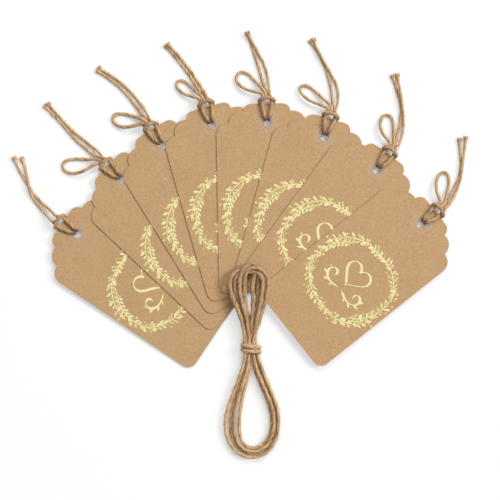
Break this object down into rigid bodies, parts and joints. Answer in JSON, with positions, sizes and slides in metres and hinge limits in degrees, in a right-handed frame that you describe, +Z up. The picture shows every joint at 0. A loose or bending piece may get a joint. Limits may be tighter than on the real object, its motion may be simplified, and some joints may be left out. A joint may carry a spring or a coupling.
{
  "type": "gift tag set",
  "caption": "Fan of scalloped kraft gift tags, each with a punched hole, a clear ring and a twine tie in a lark's head hitch, with a tied hank of spare twine at the foot.",
  "frame": {"origin": "middle of the fan's box of cards and hitches, at table level", "axes": "+X to the right along the fan, +Y towards the tags' heads, +Z up out of the table"},
  "size_m": [0.2267, 0.2111, 0.009],
  "materials": {
    "kraft_card": "matte",
    "clear_ring": "satin",
    "twine": "rough"
  },
  "bodies": {
    "tag_1": {"card_1": "kraft_card", "ring_1": "clear_ring", "hitch_1": "twine"},
    "tie_1": {"tail_a_1": "twine", "tail_b_1": "twine"},
    "tag_2": {"card_2": "kraft_card", "ring_2": "clear_ring", "hitch_2": "twine"},
    "tie_2": {"loop_2": "twine", "tail_a_2": "twine", "tail_b_2": "twine"},
    "tag_3": {"card_3": "kraft_card", "ring_3": "clear_ring", "hitch_3": "twine"},
    "tie_3": {"loop_3": "twine", "tail_a_3": "twine", "tail_b_3": "twine"},
    "tag_4": {"card_4": "kraft_card", "ring_4": "clear_ring", "hitch_4": "twine"},
    "tie_4": {"loop_4": "twine", "tail_a_4": "twine", "tail_b_4": "twine"},
    "tag_5": {"card_5": "kraft_card", "ring_5": "clear_ring", "hitch_5": "twine"},
    "tie_5": {"loop_5": "twine", "tail_a_5": "twine", "tail_b_5": "twine"},
    "tag_6": {"card_6": "kraft_card", "ring_6": "clear_ring", "hitch_6": "twine"},
    "tie_6": {"loop_6": "twine", "tail_a_6": "twine", "tail_b_6": "twine"},
    "tag_7": {"card_7": "kraft_card", "ring_7": "clear_ring", "hitch_7": "twine"},
    "tie_7": {"loop_7": "twine", "tail_a_7": "twine", "tail_b_7": "twine"},
    "tag_8": {"card_8": "kraft_card", "ring_8": "clear_ring", "hitch_8": "twine"},
    "tie_8": {"loop_8": "twine", "tail_a_8": "twine", "tail_b_8": "twine"},
    "hank": {"hank": "twine", "hank_binding": "twine"}
  },
  "joints": [
    {"name": "tag_2_lift", "type": "slide", "parent": "tag_1", "child": "tag_2", "axis": [0, 0, 1], "range_m": [0, 0.02]},
    {"name": "tag_3_lift", "type": "slide", "parent": "tag_2", "child": "tag_3", "axis": [0, 0, 1], "range_m": [0, 0.02]},
    {"name": "tag_4_lift", "type": "slide", "parent": "tag_3", "child": "tag_4", "axis": [0, 0, 1], "range_m": [0, 0.02]},
    {"name": "tag_5_lift", "type": "slide", "parent": "tag_4", "child": "tag_5", "axis": [0, 0, 1], "range_m": [0, 0.02]},
    {"name": "tag_6_lift", "type": "slide", "parent": "tag_5", "child": "tag_6", "axis": [0, 0, 1], "range_m": [0, 0.02]},
    {"name": "tag_7_lift", "type": "slide", "parent": "tag_6", "child": "tag_7", "axis": [0, 0, 1], "range_m": [0, 0.02]},
    {"name": "tag_8_lift", "type": "slide", "parent": "tag_7", "child": "tag_8", "axis": [0, 0, 1], "range_m": [0, 0.02]},
    {"name": "tie_1_fold", "type": "hinge", "parent": "tag_1", "child": "tie_1", "pos_m": [-0.09571, 0.00595, 0.00427], "axis": [0.559, 0.8291, -0.012], "range_deg": [0, 85]},
    {"name": "tie_2_fold", "type": "hinge", "parent": "tag_2", "child": "tie_2", "pos_m": [-0.07298, 0.03456, 0.0043], "axis": [0.6862, 0.7273, -0.0148], "range_deg": [0, 85]},
    {"name": "tie_3_fold", "type": "hinge", "parent": "tag_3", "child": "tie_3", "pos_m": [-0.05033, 0.05324, 0.00433], "axis": [0.8487, 0.5285, -0.0183], "range_deg": [0, 85]},
    {"name": "tie_4_fold", "type": "hinge", "parent": "tag_4", "child": "tie_4", "pos_m": [-0.02258, 0.06471, 0.00425], "axis": [0.9615, 0.274, -0.0207], "range_deg": [0, 85]},
    {"name": "tie_5_fold", "type": "hinge", "parent": "tag_5", "child": "tie_5", "pos_m": [0.00805, 0.06657, 0.00411], "axis": [0.9996, 0.0175, -0.0215], "range_deg": [0, 85]},
    {"name": "tie_6_fold", "type": "hinge", "parent": "tag_6", "child": "tie_6", "pos_m": [0.04011, 0.05888, 0.00394], "axis": [0.9634, -0.2673, -0.0208], "range_deg": [0, 85]},
    {"name": "tie_7_fold", "type": "hinge", "parent": "tag_7", "child": "tie_7", "pos_m": [0.0702, 0.04089, 0.00381], "axis": [0.8077, -0.5893, -0.0174], "range_deg": [0, 85]},
    {"name": "tie_8_fold", "type": "hinge", "parent": "tag_8", "child": "tie_8", "pos_m": [0.09434, 0.01176, 0.00381], "axis": [0.623, -0.7821, -0.0134], "range_deg": [0, 85]},
    {"name": "hank_lift", "type": "slide", "parent": "tag_8", "child": "hank", "axis": [0, 0, 1], "range_m": [0, 0.03]}
  ]
}
